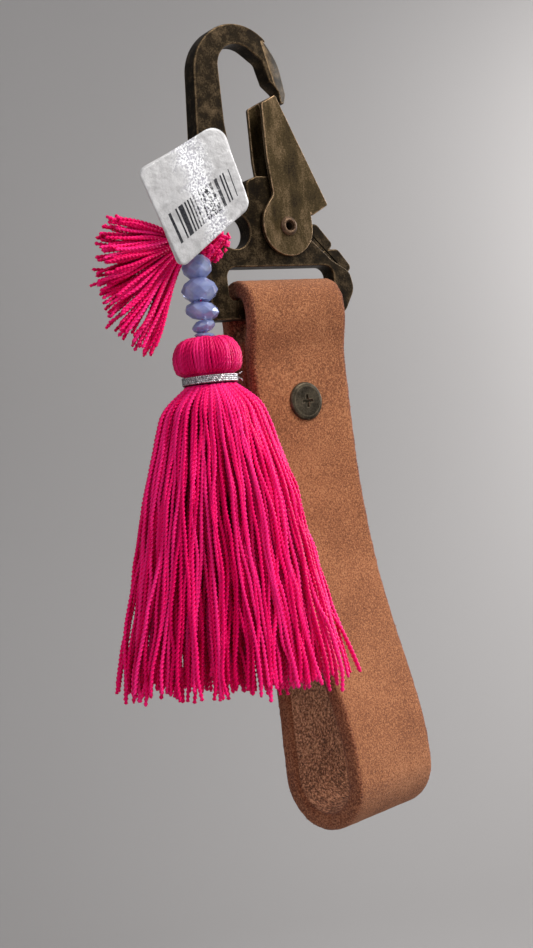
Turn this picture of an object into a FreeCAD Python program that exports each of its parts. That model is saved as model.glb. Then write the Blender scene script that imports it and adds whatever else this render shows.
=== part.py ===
# Wristlet keychain: a snap hook with a sprung gate, a folded leather wrist strap closed by a two-part
# screw, and a beaded thread charm with a large and a small tassel.
# Millimetres. The hook is a flat plate in the XZ plane, its front faces -Y and +Z is up.
# The origin is the centre of the round inside of the hook's bow.
import FreeCAD, Part
import math
import os

import Sketcher

VECTOR = FreeCAD.Vector

# ------------------------------------------------------------------ driving dimensions
SIZES = {
    # hook plate
    "plate_thick": 4.0,
    "bow_radius": 5.0,
    "bow_outer": 10.6,
    "bow_drop": 1.5,
    "edge_round": 0.45,
    "slot_centre_x": 4.6,
    "slot_width": 26.5,
    "slot_top_z": -40.4,
    "slot_height": 6.7,
    "slot_corner": 1.3,
    "slot_shoulder": 2.2,
    "rail_height": 3.8,
    "hole_x": -5.7,
    "hole_z": -33.0,
    "hole_diameter": 7.4,
    "tooth_thick": 2.2,
    # gate
    "pivot_x": 6.9,
    "pivot_z": -32.4,
    "lobe_radius": 6.1,
    "sheet_thick": 0.9,
    "channel_inside": 4.3,
    "rivet_diameter": 3.0,
    "rivet_head": 3.9,
    "rivet_head_thick": 0.7,
    "rivet_bore": 1.7,
    "pivot_clearance": 0.05,
    "spring_wire": 0.7,
    "spring_radius": 3.0,
    "spring_turns": 2.0,
    "spring_seat_radius": 4.1,
    "spring_seat_depth": 2.5,
    # strap
    "strap_width": 23.2,
    "strap_thick": 3.3,
    "strap_pitch": 3.4,
    "strap_x": 5.2,
    "rail_wrap": 2.75,
    "stack_shift": 0.9,
    "screw_z": -68.5,
    "screw_head": 7.8,
    "screw_head_thick": 0.8,
    "post_diameter": 4.6,
    "post_clearance": 0.1,
    "thread_diameter": 3.0,
    # charm
    "string_x": -17.5,
    "string_y": -5.0,
    "string_z": -36.9,
    "string_thick": 0.9,
    "bead_clearance": 0.08,
    "head_diameter": 13.6,
    "head_top_z": -54.8,
    "neck_z": -62.9,
    "band_diameter": 11.0,
    "band_height": 1.9,
    "band_thick": 0.6,
    "skirt_bottom_z": -124.0,
    "tag_long": 19.2,
    "tag_wide": 19.0,
    "tag_thick": 0.6,
}

document = FreeCAD.newDocument("wristlet_keychain")
sheet = document.addObject("Spreadsheet::Sheet", "Sizes")
for row, (alias, value) in enumerate(SIZES.items(), start=1):
    sheet.set(f"A{row}", alias)
    sheet.set(f"B{row}", str(value))
    sheet.setAlias(f"B{row}", alias)
document.recompute()

SUB_PARTS = []


def size(alias):
    """A driving dimension, read from the sheet."""
    return float(sheet.get(alias))


# ------------------------------------------------------------------ helpers
def keep(shape_object, label):
    """Names a finished sub-part, which also names its file."""
    shape_object.Label = label
    SUB_PARTS.append(shape_object)
    return shape_object


def feature(shape, label):
    """A sub-part whose shape is made here in code."""
    made = document.addObject("Part::Feature", label)
    made.Shape = shape
    return keep(made, label)


def rounded_corner(before, corner, after, radius):
    """Tangent points and middle of the arc that rounds a corner, or None where the path is straight."""
    into = (before - corner).normalize()
    out = (after - corner).normalize()
    half = into.getAngle(out) / 2
    if math.pi / 2 - half < 1e-3:
        return None
    reach = radius / math.tan(half)
    bisector = (into + out).normalize()
    middle = corner + bisector * (radius / math.sin(half) - radius)
    return corner + into * reach, middle, corner + out * reach


def path_edges(points, closed=False, share=0.45):
    """Straight runs joined by tangent arcs. A point is (position, radius); radius None makes the arc as
    large as its two runs allow, and 0 keeps the corner sharp."""
    count = len(points)
    arcs = {}
    for index in range(count):
        if not closed and index in (0, count - 1):
            continue
        before = points[index - 1][0]
        corner, radius = points[index]
        after = points[(index + 1) % count][0]
        if radius == 0:
            continue
        if radius is None:
            run = min((before - corner).Length, (after - corner).Length)
            half = (before - corner).getAngle(after - corner) / 2
            radius = share * run * math.tan(half)
        arcs[index] = rounded_corner(before, corner, after, radius)
    edges = []
    for index in range(count if closed else count - 1):
        following = (index + 1) % count
        start = arcs[index][2] if arcs.get(index) else points[index][0]
        end = arcs[following][0] if arcs.get(following) else points[following][0]
        if (end - start).Length > 1e-4:
            edges.append(Part.LineSegment(start, end))
        if arcs.get(following):
            edges.append(Part.Arc(*arcs[following]))
    return edges


def path_wire(points, closed=False):
    """One wire of the runs and arcs of path_edges."""
    return Part.Wire([edge.toShape() for edge in path_edges(points, closed)])


def flat_points(pairs):
    """Sketch or XZ outline points: (across, up) or (across, up, radius)."""
    return [(VECTOR(pair[0], pair[1], 0), pair[2] if len(pair) > 2 else 0) for pair in pairs]


def origin_plane(body, role):
    """One of a body's own origin planes."""
    return next(item for item in body.Origin.OriginFeatures if item.Role == role)


def new_body(name):
    """An empty PartDesign body."""
    return document.addObject("PartDesign::Body", name)


def new_sketch(body, name, role="XZ_Plane"):
    """A sketch on one of the body's origin planes."""
    sketch = body.newObject("Sketcher::SketchObject", name)
    sketch.AttachmentSupport = [(origin_plane(body, role), "")]
    sketch.MapMode = "FlatFace"
    return sketch


def draw_outline(sketch, pairs):
    """Adds a closed outline of lines and tangent arcs to a sketch."""
    edges = path_edges(flat_points(pairs), closed=True)
    geometry = []
    for edge in edges:
        if isinstance(edge, Part.Arc):
            curve = edge.toShape().Curve
            ends = (edge.toShape().FirstParameter, edge.toShape().LastParameter)
            geometry.append(Part.ArcOfCircle(curve, *ends))
        else:
            geometry.append(edge)
    sketch.addGeometry(geometry, False)


def draw_circle(sketch, x_alias, z_alias, diameter_expression):
    """A circle whose centre and diameter follow the sheet."""
    start = VECTOR(size(x_alias), size(z_alias), 0)
    index = sketch.addGeometry(Part.Circle(start, VECTOR(0, 0, 1), 1.0), False)
    for kind, alias in (("DistanceX", x_alias), ("DistanceY", z_alias)):
        row = sketch.addConstraint(Sketcher.Constraint(kind, -1, 1, index, 3, size(alias)))
        sketch.setExpression(f"Constraints[{row}]", f"Sizes.{alias}")
    row = sketch.addConstraint(Sketcher.Constraint("Diameter", index, 2.0))
    sketch.setExpression(f"Constraints[{row}]", diameter_expression)


def pad(body, sketch, length_expression):
    """Pads a sketch to both sides of its plane."""
    made = body.newObject("PartDesign::Pad", sketch.Name + "Pad")
    made.Profile = sketch
    made.SideType = "Symmetric"
    made.setExpression("Length", length_expression)
    return made


def cut_through(body, sketch):
    """Cuts a sketch right through the body, both ways."""
    made = body.newObject("PartDesign::Pocket", sketch.Name + "Pocket")
    made.Profile = sketch
    made.SideType = "Symmetric"
    made.Type = "ThroughAll"
    return made


def cylinder_y(radius, y_from, y_to, x, z):
    """A cylinder along Y."""
    return Part.makeCylinder(radius, y_to - y_from, VECTOR(x, y_from, z), VECTOR(0, 1, 0))


def prism_y(pairs, y_from, y_to):
    """An XZ outline swept along Y."""
    points = [(VECTOR(place.x, y_from, place.y), radius) for place, radius in flat_points(pairs)]
    return Part.Face(path_wire(points, closed=True)).extrude(VECTOR(0, y_to - y_from, 0))


def turned_z(pairs, x, y):
    """A solid of revolution about a vertical axis: pairs are (radius, height)."""
    ring = [VECTOR(radius, 0, height) for radius, height in pairs]
    solid = Part.Face(Part.makePolygon(ring + ring[:1])).revolve(VECTOR(0, 0, 0), VECTOR(0, 0, 1), 360)
    solid.translate(VECTOR(x, y, 0))
    return solid


def turned_y(pairs, x, z):
    """A solid of revolution about an axis along Y: pairs are (radius, position along Y)."""
    ring = [VECTOR(radius, along, 0) for radius, along in pairs]
    solid = Part.Face(Part.makePolygon(ring + ring[:1])).revolve(VECTOR(0, 0, 0), VECTOR(0, 1, 0), 360)
    solid.translate(VECTOR(x, 0, z))
    return solid


def tube(points, diameter):
    """A round tube along straight runs and tangent arcs, checked against its section times its length."""
    wire = path_wire(points)
    first = wire.OrderedEdges[0]
    start = first.valueAt(first.FirstParameter)
    along = first.tangentAt(first.FirstParameter)
    section = Part.Wire(Part.makeCircle(diameter / 2, start, along))
    solid = wire.makePipeShell([section], True, False)
    expected = math.pi * diameter ** 2 / 4 * wire.Length
    if abs(solid.Volume - expected) > 0.03 * expected:
        raise RuntimeError("a tube's volume is wrong")
    return solid


# ------------------------------------------------------------------ hook
def hook_outline():
    """The plate's outline, clockwise from the left of the bow, with the bow's mouth and nose."""
    outer = size("bow_outer")
    drop = -size("bow_drop")
    inner = size("bow_radius")
    bottom = size("slot_top_z") - size("slot_height") - size("rail_height")
    top_corner = outer * math.tan(math.radians(22.5))
    inner_corner = inner * math.tan(math.radians(22.5))
    return [
        (-outer, drop + top_corner, outer),
        (-top_corner, drop + outer, outer),
        (top_corner, drop + outer, outer * 0.95),
        (10.9, 2.2, 7.0),
        (11.7, -4.6, 1.4),
        (10.6, -6.7, 0.6),
        (9.5, -6.6, 0.3),
        (9.4, -4.2, 0.8),
        (7.2, -2.3, 0.7),
        (5.9, 2.0, 1.2),
        (inner * math.tan(math.radians(17.5)), inner, inner),
        (-inner_corner, inner, inner),
        (-inner, inner_corner, inner),
        (-inner - 0.1, -11.6, 20.0),
        (-4.3, -18.0, 8.0),
        (-4.5, -27.6, 1.3),
        (-1.7, -27.6, 1.3),
        (-1.6, -22.9, 1.4),
        (1.2, -21.9, 1.0),
        (4.6, -21.9, 1.2),
        (11.2, -29.0, 3.0),
        (12.9, -34.9, 2.0),
        (17.8, -39.3, 6.0),
        (22.2, -41.9, 2.6),
        (22.9, -45.6, 3.4),
        (19.6, bottom, 3.4),
        (-12.7, bottom, 0.9),
        (-13.7, -42.0, 0.6),
        (-12.5, -40.6, 0.5),
        (-13.0, -30.0, 8.0),
        (-11.9, -14.0, 20.0),
    ]


def tooth_outline(x, z, reach, rise, tilt):
    """One leaf-shaped grip tooth: a long outer curve that ends in a step."""
    turn = math.radians(tilt)
    leaf = [(0, 0, 0), (reach * 0.3, rise * 1.05, 1.4), (reach, rise, 1.0), (reach * 1.02, rise * 0.1, 0.3),
            (reach * 0.8, -rise * 0.6, 0), (0, -rise * 0.6, 0)]
    placed = []
    for along, across, radius in leaf:
        placed.append((x + along * math.cos(turn) - across * math.sin(turn),
                       z + along * math.sin(turn) + across * math.cos(turn), radius))
    return placed


def make_hook():
    """The hook plate with its slot, thread hole, pivot bore, spring seat and grip teeth."""
    body = new_body("HookPlate")
    outline = new_sketch(body, "PlateOutline")
    draw_outline(outline, hook_outline())
    pad(body, outline, "Sizes.plate_thick")
    slot = new_sketch(body, "StrapSlot")
    left = size("slot_centre_x") - size("slot_width") / 2
    right = size("slot_centre_x") + size("slot_width") / 2
    top = size("slot_top_z")
    low = top - size("slot_height")
    shoulder = size("slot_shoulder")
    corner = size("slot_corner")
    draw_outline(slot, [(left, top, shoulder), (right, top, shoulder), (right, low, corner),
                        (left, low, corner)])
    cut_through(body, slot)
    hole = new_sketch(body, "ThreadHole")
    draw_circle(hole, "hole_x", "hole_z", "Sizes.hole_diameter")
    cut_through(body, hole)
    bore = new_sketch(body, "PivotBore")
    draw_circle(bore, "pivot_x", "pivot_z", "Sizes.rivet_diameter + 2 * Sizes.pivot_clearance")
    cut_through(body, bore)
    document.recompute()
    solid = body.Shape.fuse([tooth(index) for index in range(2)])
    solid = solid.cut([spring_seat(), nose_bevel()] + rail_bevels()).removeSplitter()
    plate = document.addObject("Part::Feature", "HookFinished")
    plate.Shape = solid
    return keep(plate, "hook_body")


def rail_bevels():
    """Four prisms that take the corners off the rail the strap turns on."""
    half = size("plate_thick") / 2
    tall = size("rail_height") / 2
    bevel = size("edge_round") * 1.4
    length = size("strap_width") + 0.6
    start = size("strap_x") - length / 2
    axis = rail_centre_z()
    prisms = []
    for side in (-1, 1):
        for end in (-1, 1):
            tip = VECTOR(start, side * (half + 0.2), axis + end * (tall + 0.2))
            reach = bevel + 0.4
            points = [tip, tip + VECTOR(0, -side * reach, 0), tip + VECTOR(0, 0, -end * reach)]
            face = Part.Face(Part.makePolygon(points + points[:1]))
            prisms.append(face.extrude(VECTOR(length, 0, 0)))
    return prisms


def tooth(index):
    """A grip tooth on the right shoulder, thinner than the plate and set toward its back."""
    back = size("plate_thick") / 2 - 0.5
    places = [(12.0, -31.6, 8.2, 2.8, -48.0), (17.2, -36.9, 7.2, 2.6, -50.0)]
    x, z, reach, rise, tilt = places[index]
    return prism_y(tooth_outline(x, z, reach, rise, tilt), back - size("tooth_thick"), back)


def spring_seat():
    """The recess in the plate's back face for the spring's coil, open toward the gate's spine."""
    back = size("plate_thick") / 2
    floor = back - size("spring_seat_depth")
    x = size("pivot_x")
    z = size("pivot_z")
    radius = size("spring_seat_radius")
    well = cylinder_y(radius, floor, back + 1, x, z)
    outline = [(x - radius + 1.0, z), (x - 2.6, z + 12.0), (x + 7.0, z + 14.0),
               (x + radius + 6.0, z + 5.0), (x + radius - 1.0, z)]
    wedge = prism_y(outline, floor, back + 1)
    return well.fuse(wedge)


def nose_bevel():
    """The slanted front of the nose, which thins toward its outer edge."""
    front = -size("plate_thick") / 2
    start = 8.9
    reach = 8.0
    section = [VECTOR(start + reach, front - 0.5, 0), VECTOR(start, front - 0.5, 0), VECTOR(start, front, 0),
               VECTOR(start + reach, front + 0.42 * reach, 0)]
    face = Part.Face(Part.makePolygon(section + section[:1]))
    wedge = face.extrude(VECTOR(0, 0, 18.0))
    wedge.translate(VECTOR(0, 0, -12.0))
    wedge.rotate(VECTOR(start, 0, -6.0), VECTOR(0, 1, 0), -14)
    return wedge


# ------------------------------------------------------------------ gate
def gate_outline():
    """A cheek of the gate: a narrow top, a slanted spine edge, a thumb corner and a round lobe."""
    x = size("pivot_x")
    z = size("pivot_z")
    lobe = size("lobe_radius")
    side = lobe * math.tan(math.radians(22.5))
    return [
        (3.7, -7.1, 0.7), (7.3, -5.3, 0.5), (17.6, -28.0, 0.4), (13.4, -30.2, 0.4),
        (x + lobe, z + side, 0), (x + lobe, z - side, lobe), (x + side, z - lobe, lobe),
        (x - side, z - lobe, lobe), (x - lobe, z - side, lobe), (x - lobe, z + side, lobe),
        (4.1, -25.8, 1.2), (3.5, -18.0, 8.0),
    ]


def make_gate():
    """The sheet-metal gate: two cheeks joined by a spine along the slanted outer edge."""
    body = new_body("GateChannel")
    outline = new_sketch(body, "CheekOutline")
    draw_outline(outline, gate_outline())
    pad(body, outline, "Sizes.channel_inside + 2 * Sizes.sheet_thick")
    channel = new_sketch(body, "ChannelInside")
    sheet_thick = size("sheet_thick")
    spine = VECTOR(17.6 - 7.3, -28.0 + 5.3, 0).normalize()
    inward = VECTOR(spine.y, -spine.x, 0)
    top = VECTOR(7.3, -5.3, 0) + inward * sheet_thick - spine * 8
    low = VECTOR(17.6, -28.0, 0) + inward * sheet_thick + spine * 14
    draw_outline(channel, [(-6.0, 4.0), (top.x, top.y), (low.x, low.y), (-6.0, low.y)])
    pocket = body.newObject("PartDesign::Pocket", "ChannelPocket")
    pocket.Profile = channel
    pocket.SideType = "Symmetric"
    pocket.setExpression("Length", "Sizes.channel_inside")
    bore = new_sketch(body, "RivetHoles")
    draw_circle(bore, "pivot_x", "pivot_z", "Sizes.rivet_diameter")
    cut_through(body, bore)
    return keep(body, "gate_lever")


def make_rivet():
    """The hollow rivet, its two heads flared over the gate's cheeks."""
    half = size("channel_inside") / 2 + size("sheet_thick")
    shank = size("rivet_diameter") / 2
    head = size("rivet_head") / 2
    bore = size("rivet_bore") / 2
    end = half + size("rivet_head_thick")
    profile = [(bore + 0.3, -end), (head - 0.5, -end), (head, -end + 0.45), (head, -half), (shank, -half),
               (shank, half), (head, half), (head, end - 0.45), (head - 0.5, end), (bore + 0.3, end),
               (bore, end - 0.6), (bore, -end + 0.6)]
    return feature(turned_y(profile, size("pivot_x"), size("pivot_z")), "gate_rivet")


def make_spring():
    """The torsion spring: a coil round the rivet, a leg on the seat's wall and a leg on the spine."""
    wire = size("spring_wire")
    radius = size("spring_radius")
    turns = size("spring_turns")
    pitch = wire + 0.02
    x = size("pivot_x")
    z = size("pivot_z")
    floor = size("plate_thick") / 2 - size("spring_seat_depth")
    start_y = floor + wire / 2 + 0.05
    helix = Part.makeHelix(pitch, pitch * turns, radius)
    profile = Part.Wire(Part.makeCircle(wire / 2, VECTOR(radius, 0, 0), VECTOR(0, 1, 0)))
    coil = Part.Wire(helix).makePipeShell([profile], True, False)
    coil.rotate(VECTOR(0, 0, 0), VECTOR(1, 0, 0), -90)
    coil.translate(VECTOR(x, start_y, z))
    end = VECTOR(x + radius, start_y + pitch * turns, z)
    leg = Part.makeCylinder(wire / 2, 9.0, end, VECTOR(0.33, 0, 0.94))
    seat_leg = Part.makeCylinder(wire / 2, 6.2, VECTOR(x + radius, start_y, z), VECTOR(-0.33, 0, 0.94))
    return feature(coil.fuse([leg, seat_leg]).removeSplitter(), "gate_spring")


# ------------------------------------------------------------------ strap and its screw
def rail_centre_z():
    """Height of the rail's centre, which the strap turns about."""
    return size("slot_top_z") - size("slot_height") - size("rail_height") / 2


def strap_path():
    """The middle of the strap's thickness, from the short back end over the rail, down the front, round the
    wrist loop and up between the two outer layers."""
    axis = rail_centre_z()
    wrap = size("rail_wrap") + size("strap_thick") / 2
    pitch = size("strap_pitch")
    middle = size("stack_shift")
    front = middle - pitch
    back = middle + pitch
    corner = wrap * math.tan(math.radians(22.5))
    loop_low = -151.6
    loop_radius = 8.1
    loop_front = -15.6
    loop_back = loop_front + 2 * loop_radius
    turn = loop_radius * math.tan(math.radians(22.5))
    pairs = [
        (back, -77.5, 0), (back, -57.0, 12.0), (wrap, axis - 3.0, 8.0), (wrap, axis + corner, wrap),
        (corner, axis + wrap, wrap), (-corner, axis + wrap, wrap), (-wrap, axis + corner, wrap),
        (-wrap, axis - 3.0, 8.0), (front, -57.5, 12.0), (front, -82.0, None), (-4.8, -98.0, None),
        (-11.4, -121.0, None), (loop_front, -137.0, 20.0),
        (loop_front, loop_low + loop_radius - turn, loop_radius),
        (loop_front + loop_radius - turn, loop_low, loop_radius),
        (loop_back - loop_radius + turn, loop_low, loop_radius),
        (loop_back, loop_low + loop_radius - turn, loop_radius),
        (loop_back, -128.0, 60.0), (middle - 0.4, -86.0, 40.0), (middle, -76.0, 40.0), (middle, -55.2, 0),
    ]
    return [(VECTOR(0, y, z), radius) for y, z, radius in pairs]


def parallel_edges(edges, distance, normal):
    """The same runs and arcs, moved sideways in their plane by a distance."""
    moved = []
    for edge in edges:
        shape = edge.toShape()
        first = shape.FirstParameter
        last = shape.LastParameter
        points = [shape.valueAt(place) + normal.cross(shape.tangentAt(place)) * distance
                  for place in (first, (first + last) / 2, last)]
        if isinstance(edge, Part.Arc):
            moved.append(Part.Arc(*points))
        else:
            moved.append(Part.LineSegment(points[0], points[2]))
    return moved


def make_strap():
    """The leather strap: one strip, three layers thick at the screw."""
    half_width = size("strap_width") / 2
    half_thick = size("strap_thick") / 2
    middle = path_edges(strap_path())
    across = VECTOR(1, 0, 0)
    one_side = [edge.toShape() for edge in parallel_edges(middle, half_thick, across)]
    other_side = [edge.toShape() for edge in parallel_edges(middle, -half_thick, across)]
    ends = []
    for first, second in ((one_side[0], other_side[0]), (one_side[-1], other_side[-1])):
        at_end = first is one_side[-1]
        pair = [edge.valueAt(edge.LastParameter if at_end else edge.FirstParameter)
                for edge in (first, second)]
        ends.append(Part.LineSegment(*pair).toShape())
    outline = Part.Wire(Part.__sortEdges__(one_side + other_side + ends))
    solid = Part.Face(outline).extrude(VECTOR(size("strap_width"), 0, 0))
    solid.translate(VECTOR(size("strap_x") - half_width, 0, 0))
    hole_radius = size("post_diameter") / 2 + size("post_clearance")
    solid = solid.cut(cylinder_y(hole_radius, -12, 12, size("strap_x"), size("screw_z")))
    return feature(solid, "wrist_strap")


def stack_faces():
    """The Y of the front and back faces of the three strap layers."""
    reach = size("strap_pitch") + size("strap_thick") / 2
    return size("stack_shift") - reach, size("stack_shift") + reach


def make_screw():
    """The screw: a low domed head with a cross recess, and its thread as a plain cylinder."""
    front, back = stack_faces()
    head = size("screw_head") / 2
    thick = size("screw_head_thick")
    core = size("thread_diameter") / 2
    x = size("strap_x")
    z = size("screw_z")
    profile = [(0, front - thick), (head - 0.9, front - thick), (head - 0.25, front - thick + 0.2),
               (head, front - thick + 0.5), (head, front), (core, front), (core, back - 2.2), (0, back - 2.2)]
    solid = turned_y(profile, x, z)
    for turn in (0, 90):
        wing = Part.makeBox(2.6, 0.7, 0.62, VECTOR(-1.3, front - thick - 0.05, -0.31))
        wing.rotate(VECTOR(0, 0, 0), VECTOR(0, 1, 0), turn)
        wing.translate(VECTOR(x, 0, z))
        solid = solid.cut(wing)
    return feature(solid, "screw")


def make_screw_post():
    """The post: a barrel through the layers with its own flat head behind the strap."""
    front, back = stack_faces()
    head = size("screw_head") / 2
    thick = size("screw_head_thick")
    barrel = size("post_diameter") / 2
    bore = size("thread_diameter") / 2
    profile = [(bore, front + 0.05), (barrel, front + 0.05), (barrel, back), (head, back),
               (head, back + thick - 0.5), (head - 0.6, back + thick), (0, back + thick), (0, back - 1.2),
               (bore, back - 1.2)]
    return feature(turned_y(profile, size("strap_x"), size("screw_z")), "screw_post")


# ------------------------------------------------------------------ charm
def make_thread_loop():
    """The thread that ties the charm on: through the hole, round the plate's left wall, to the knot."""
    x = size("hole_x")
    z = size("hole_z") - 1.6
    thick = size("string_thick")
    out = size("plate_thick") / 2 + thick / 2 + 0.15
    points = [(VECTOR(-14.6, -3.4, z - 2.6), 0), (VECTOR(-11.5, -out - 0.3, z - 1.0), None),
              (VECTOR(x - 2.2, -out, z), 1.0), (VECTOR(x - 2.2, out, z), 1.0),
              (VECTOR(-14.2, out, z - 0.8), 1.6), (VECTOR(-15.4, 0.6, z - 3.2), 0)]
    return feature(tube(points, thick), "thread_loop")


def make_loop_bundle():
    """The small tassel's folded threads, a plump roll that lies on the plate from the knot to the hole."""
    roll = Part.makeSphere(1.0)
    stretch = FreeCAD.Matrix()
    stretch.scale(4.4, 1.35, 1.9)
    roll = roll.transformGeometry(stretch)
    roll.rotate(VECTOR(0, 0, 0), VECTOR(0, 1, 0), -44)
    roll.translate(VECTOR(-10.6, -4.1, -37.6))
    return feature(roll, "small_tassel_loops")


def make_knot():
    """The knot that everything hangs from."""
    ball = Part.makeSphere(1.5, VECTOR(size("string_x"), size("string_y"), size("string_z") + 0.2))
    return feature(ball, "thread_knot")


def make_small_tassel():
    """The small tassel's fan of threads, a flattened cone that points down and to the left."""
    stations = [(2.1, 1.15, 1.1), (4.5, 2.4, 1.6), (8.0, 4.9, 2.4), (13.5, 8.4, 2.8), (18.5, 10.2, 3.1),
                (22.4, 9.4, 2.7)]
    fan = fan_loft(stations)
    fan.rotate(VECTOR(0, 0, 0), VECTOR(0, 1, 0), -18)
    fan.translate(VECTOR(size("string_x"), size("string_y"), size("string_z") + 0.9))
    return feature(fan, "small_tassel")


def ellipse_wire(centre, semi_long, semi_short, normal, long_axis):
    """One oval section."""
    if semi_long < semi_short:
        semi_long, semi_short = semi_short, semi_long
        long_axis = normal.cross(long_axis)
    oval = Part.Ellipse(centre + long_axis * semi_long, centre + normal.cross(long_axis) * semi_short, centre)
    return Part.Wire(oval.toShape())


def fan_loft(stations):
    """A loft of ovals along -X: each station is (distance, half height, half depth)."""
    wires = []
    for distance, tall, deep in stations:
        centre = VECTOR(-distance, 0, 0)
        wires.append(ellipse_wire(centre, tall, deep, VECTOR(1, 0, 0), VECTOR(0, 0, 1)))
    return Part.makeLoft(wires, True)


def make_bead_thread():
    """The thread that the beads are strung on, from under the knot into the tassel's head."""
    top = size("string_z") - 1.5
    low = size("head_top_z") - 0.6
    base = VECTOR(size("string_x"), size("string_y"), low)
    return feature(Part.makeCylinder(size("string_thick") / 2, top - low, base), "bead_thread")


BEADS = [(6.2, 4.5), (7.3, 4.4), (7.0, 3.4), (4.9, 2.3), (4.2, 1.2)]


def make_beads():
    """Five rondelle beads, each a double cone with a flat girdle, bored for the thread."""
    bore = size("string_thick") / 2 + size("bead_clearance")
    level = size("string_z") - 1.62
    for number, (diameter, height) in enumerate(BEADS, start=1):
        girdle = diameter / 2
        face = girdle * 0.5
        profile = [(bore, level), (face, level), (girdle * 0.86, level - height * 0.17),
                   (girdle, level - height * 0.4), (girdle, level - height * 0.6),
                   (girdle * 0.86, level - height * 0.83), (face, level - height), (bore, level - height)]
        feature(turned_z(profile, size("string_x"), size("string_y")), f"bead_{number}")
        level -= height + 0.1


def make_tassel_head():
    """The tassel's bound head, a plump bulb drawn in at the neck."""
    top = size("head_top_z")
    neck = size("neck_z")
    radius = size("head_diameter") / 2
    bore = size("string_thick") / 2
    neck_radius = size("band_diameter") / 2 - size("band_thick")
    profile = [(bore, top), (radius * 0.55, top + 0.1), (radius * 0.87, top - 1.2), (radius, top - 3.6),
               (radius * 0.97, top - 5.6), (neck_radius + 0.8, neck + 1.6), (neck_radius, neck + 1.0),
               (neck_radius, neck - 0.95), (0, neck - 0.95), (0, top - 0.6), (bore, top - 0.6)]
    return feature(turned_z(profile, size("string_x"), size("string_y")), "tassel_head")


def make_neck_band():
    """The metallic thread wound round the neck."""
    neck = size("neck_z")
    outer = size("band_diameter") / 2
    inner = outer - size("band_thick")
    half = size("band_height") / 2
    profile = [(inner, neck + half), (outer - 0.2, neck + half), (outer, neck + half - 0.3),
               (outer, neck - half + 0.3), (outer - 0.2, neck - half), (inner, neck - half)]
    return feature(turned_z(profile, size("string_x"), size("string_y")), "neck_band")


# The skirt's ovals: (height, half width, half depth, sideways and forward shift of the middle).
SKIRT_YAW = -33.75
SKIRT = [(-63.9, 5.3, 5.2, 0.0, 0.0), (-67.5, 9.3, 8.0, -0.3, -0.6), (-84.5, 14.8, 9.8, -0.8, -4.1),
         (-100.0, 17.4, 10.0, -1.4, -6.3), (-117.0, 20.2, 10.0, -2.2, -9.4)]
SKIRT_HEM = (20.8, 10.0, -2.4, -10.6)


def make_skirt():
    """The tassel's skirt as one flaring oval solid that leans away from the strap."""
    stations = SKIRT + [(size("skirt_bottom_z"),) + SKIRT_HEM]
    wires = []
    for height, wide, deep, side, forward in stations:
        centre = VECTOR(side, forward, height)
        wires.append(ellipse_wire(centre, wide, deep, VECTOR(0, 0, 1), VECTOR(1, 0, 0)))
    solid = Part.makeLoft(wires, True)
    solid.rotate(VECTOR(0, 0, 0), VECTOR(0, 0, 1), SKIRT_YAW)
    solid.translate(VECTOR(size("string_x"), size("string_y"), 0))
    return feature(solid, "tassel_skirt")


def make_tag():
    """The folded paper price tag, two stuck layers, its outline bent out of square by use."""
    long = size("tag_long")
    wide = size("tag_wide")
    thick = size("tag_thick")
    outline = [(-wide / 2 + 0.8, long / 2 - 0.5, 1.6), (wide / 2 - 0.5, long / 2 - 0.5, 2.4),
               (wide / 2 + 1.4, long / 2 - 4.6, 1.6), (wide / 2 - 1.6, -long / 2 + 2.0, 2.0),
               (-wide / 2 - 1.4, -long / 2 - 0.5, 1.2)]
    solid = prism_y(outline, -thick / 2, thick / 2)
    solid.rotate(VECTOR(0, 0, 0), VECTOR(0, 1, 0), -28)
    solid.rotate(VECTOR(0, 0, 0), VECTOR(0, 0, 1), -8)
    solid.translate(VECTOR(-18.9, -11.3, -27.3))
    return feature(solid, "price_tag")


# ------------------------------------------------------------------ build, check and export
make_hook()
make_gate()
make_rivet()
make_spring()
make_strap()
make_screw()
make_screw_post()
make_thread_loop()
make_loop_bundle()
make_knot()
make_small_tassel()
make_bead_thread()
make_beads()
make_tassel_head()
make_neck_band()
make_skirt()
make_tag()
document.recompute()

for item in document.Objects:
    if "Invalid" in item.State or "Error" in item.State:
        raise RuntimeError(f"{item.Name} failed: {item.State}")
for part in SUB_PARTS:
    if part.Shape.isNull() or not part.Shape.isValid():
        raise RuntimeError(f"{part.Label} has no valid shape")

os.makedirs("parts", exist_ok=True)
for part in SUB_PARTS:
    part.Shape.exportStep(os.path.join("parts", part.Label + ".step"))
    print(f"{part.Label}: {len(part.Shape.Solids)} solid, {part.Shape.Volume:.1f} mm3")
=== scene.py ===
import functools
import math
import random

import bmesh
import bpy
import numpy as np
from mathutils import Matrix, Vector, noise


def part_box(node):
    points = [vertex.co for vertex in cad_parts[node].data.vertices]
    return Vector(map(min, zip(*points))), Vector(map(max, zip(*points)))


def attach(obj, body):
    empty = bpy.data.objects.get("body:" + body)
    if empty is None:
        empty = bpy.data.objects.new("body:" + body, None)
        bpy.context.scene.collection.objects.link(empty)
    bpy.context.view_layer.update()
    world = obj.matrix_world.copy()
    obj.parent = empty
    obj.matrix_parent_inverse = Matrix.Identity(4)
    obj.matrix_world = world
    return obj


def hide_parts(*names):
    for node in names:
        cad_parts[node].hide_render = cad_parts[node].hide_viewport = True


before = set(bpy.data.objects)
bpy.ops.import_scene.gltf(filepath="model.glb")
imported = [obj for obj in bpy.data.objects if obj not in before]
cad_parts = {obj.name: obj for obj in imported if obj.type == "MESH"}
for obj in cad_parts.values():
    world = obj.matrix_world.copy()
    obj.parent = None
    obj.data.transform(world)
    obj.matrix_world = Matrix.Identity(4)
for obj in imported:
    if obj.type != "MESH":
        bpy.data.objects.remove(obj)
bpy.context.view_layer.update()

MM = 0.001
NOISE_SEED = 12
noise.seed_set(NOISE_SEED)


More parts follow.
